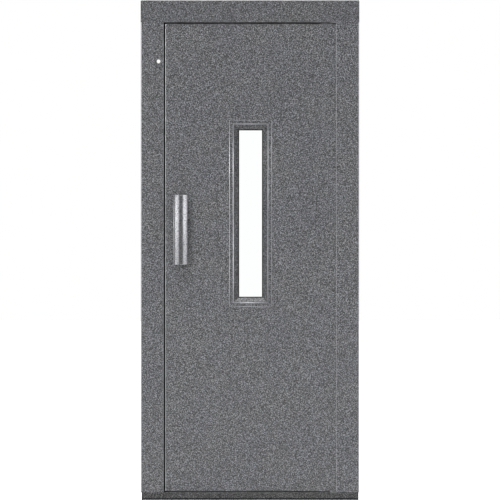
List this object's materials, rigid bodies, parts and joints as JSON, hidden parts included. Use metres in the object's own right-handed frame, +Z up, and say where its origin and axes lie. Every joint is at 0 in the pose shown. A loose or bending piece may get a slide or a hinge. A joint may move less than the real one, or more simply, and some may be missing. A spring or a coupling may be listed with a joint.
{
  "type": "single-leaf swing landing door with frame",
  "caption": "Hinged steel landing door in a folded sheet frame with head, threshold, narrow window and vertical pull handle.",
  "frame": {"origin": "centre of the threshold's underside, at floor level, halfway between the frame's front face and its back lips", "axes": "+X to the right seen from the landing, -Y out towards the landing, +Z up along the door's height"},
  "size_m": [0.94, 0.119, 2.15],
  "materials": {
    "hammered_paint": "grey hammered enamel, satin gloss, on folded sheet steel",
    "threshold_paint": "dark grey paint, worn, on folded sheet steel",
    "zinc_plated_steel": "zinc plated steel, dull",
    "handle_aluminium": "extruded aluminium in grey hammered enamel",
    "moulding_aluminium": "extruded aluminium moulding in grey hammered enamel",
    "clear_glass": "clear laminated safety glass",
    "black_rubber": "matt black glazing gasket"
  },
  "bodies": {
    "frame": {"lock_jamb": "hammered_paint", "hinge_jamb": "hammered_paint", "head": "hammered_paint", "head_end_lock": "hammered_paint", "head_end_hinge": "hammered_paint", "head_stop": "hammered_paint", "threshold": "threshold_paint", "threshold_foot": "threshold_paint", "lock_jamb_shoe": "hammered_paint", "hinge_jamb_shoe": "hammered_paint", "lock_corner_bracket": "hammered_paint", "hinge_corner_bracket": "hammered_paint", "lock_strap_low": "zinc_plated_steel", "lock_strap_middle": "zinc_plated_steel", "lock_strap_high": "zinc_plated_steel", "hinge_strap_low": "zinc_plated_steel", "hinge_strap_middle": "zinc_plated_steel", "hinge_strap_high": "zinc_plated_steel", "bottom_pivot_plate": "zinc_plated_steel", "bottom_pivot_pin": "zinc_plated_steel", "thrust_washer": "zinc_plated_steel", "top_pivot_plate": "zinc_plated_steel", "top_pivot_pin": "zinc_plated_steel"},
    "leaf": {"leaf_front_skin": "hammered_paint", "leaf_back_skin": "hammered_paint", "hinge_stile": "hammered_paint", "keeper_plate": "zinc_plated_steel", "bottom_pivot_bush": "zinc_plated_steel", "top_pivot_bush": "zinc_plated_steel", "window_glass": "clear_glass", "front_gasket": "black_rubber", "rear_gasket": "black_rubber", "front_rail_left": "moulding_aluminium", "front_rail_top": "moulding_aluminium", "front_rail_right": "moulding_aluminium", "front_rail_bottom": "moulding_aluminium", "rear_rail_left": "moulding_aluminium", "rear_rail_top": "moulding_aluminium", "rear_rail_right": "moulding_aluminium", "rear_rail_bottom": "moulding_aluminium", "handle_grip": "handle_aluminium", "handle_cap_top": "handle_aluminium", "handle_cap_bottom": "handle_aluminium", "handle_foot_top": "handle_aluminium", "handle_foot_bottom": "handle_aluminium"}
  },
  "joints": [
    {"name": "leaf_swing", "type": "hinge", "parent": "frame", "child": "leaf", "pos_m": [0.35, -0.017, 1.044], "axis": [0, 0, 1], "range_deg": [0, 90]}
  ]
}
